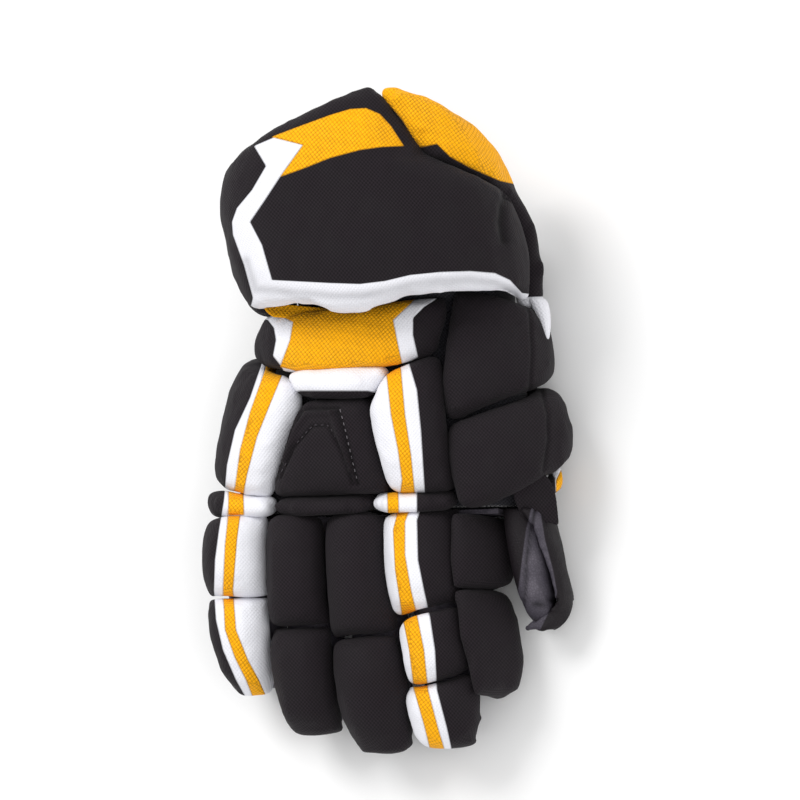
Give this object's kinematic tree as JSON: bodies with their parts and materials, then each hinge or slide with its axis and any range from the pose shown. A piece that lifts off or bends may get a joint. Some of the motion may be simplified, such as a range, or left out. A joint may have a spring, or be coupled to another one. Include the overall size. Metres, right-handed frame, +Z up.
{
  "type": "ice hockey glove",
  "caption": "Padded ice hockey glove for the right hand, lying palm down, with foam rolls on the back, a flared cuff and open finger stalls",
  "frame": {"origin": "bottom centre of the bounding box, on the surface that the glove rests on", "axes": "+Y from the fingertips to the cuff, +X across to the thumb side, +Z up out of the back of the hand"},
  "size_m": [0.2044, 0.3404, 0.1218],
  "materials": {
    "black_fabric": "matte twill nylon",
    "white_fabric": "smooth matte knit",
    "yellow_fabric": "matte diagonal mesh",
    "liner_fabric": "brushed knit",
    "palm_leather": "soft suede-like leather"
  },
  "bodies": {
    "root": {"cuff_back_pad": "black_fabric", "cuff_outer_pad": "black_fabric", "cuff_thumb_pad": "yellow_fabric", "liner": "liner_fabric", "palm": "palm_leather", "thumb_web": "palm_leather", "pinky_stall": "palm_leather", "ring_stall": "palm_leather", "middle_stall": "palm_leather", "index_stall": "palm_leather", "thumb_stall": "palm_leather", "wrist_roll": "yellow_fabric", "backhand_bar": "white_fabric", "backhand_pad": "black_fabric", "pinky_side_roll": "white_fabric", "index_side_roll": "white_fabric", "knuckle_roll_pinky": "white_fabric", "knuckle_roll_center": "black_fabric", "knuckle_roll_index": "white_fabric", "thumb_roll_1": "black_fabric", "thumb_roll_2": "black_fabric", "thumb_stripe_pad": "white_fabric", "thumb_outer_pad": "black_fabric", "pinky_roll_1": "white_fabric", "pinky_roll_2": "white_fabric", "ring_roll_1": "black_fabric", "ring_roll_2": "black_fabric", "middle_roll_1": "black_fabric", "middle_roll_2": "black_fabric", "index_roll_1": "white_fabric", "index_roll_2": "white_fabric", "index_roll_3": "white_fabric", "index_side_pad_1": "black_fabric", "index_side_pad_2": "black_fabric"}
  },
  "joints": []
}
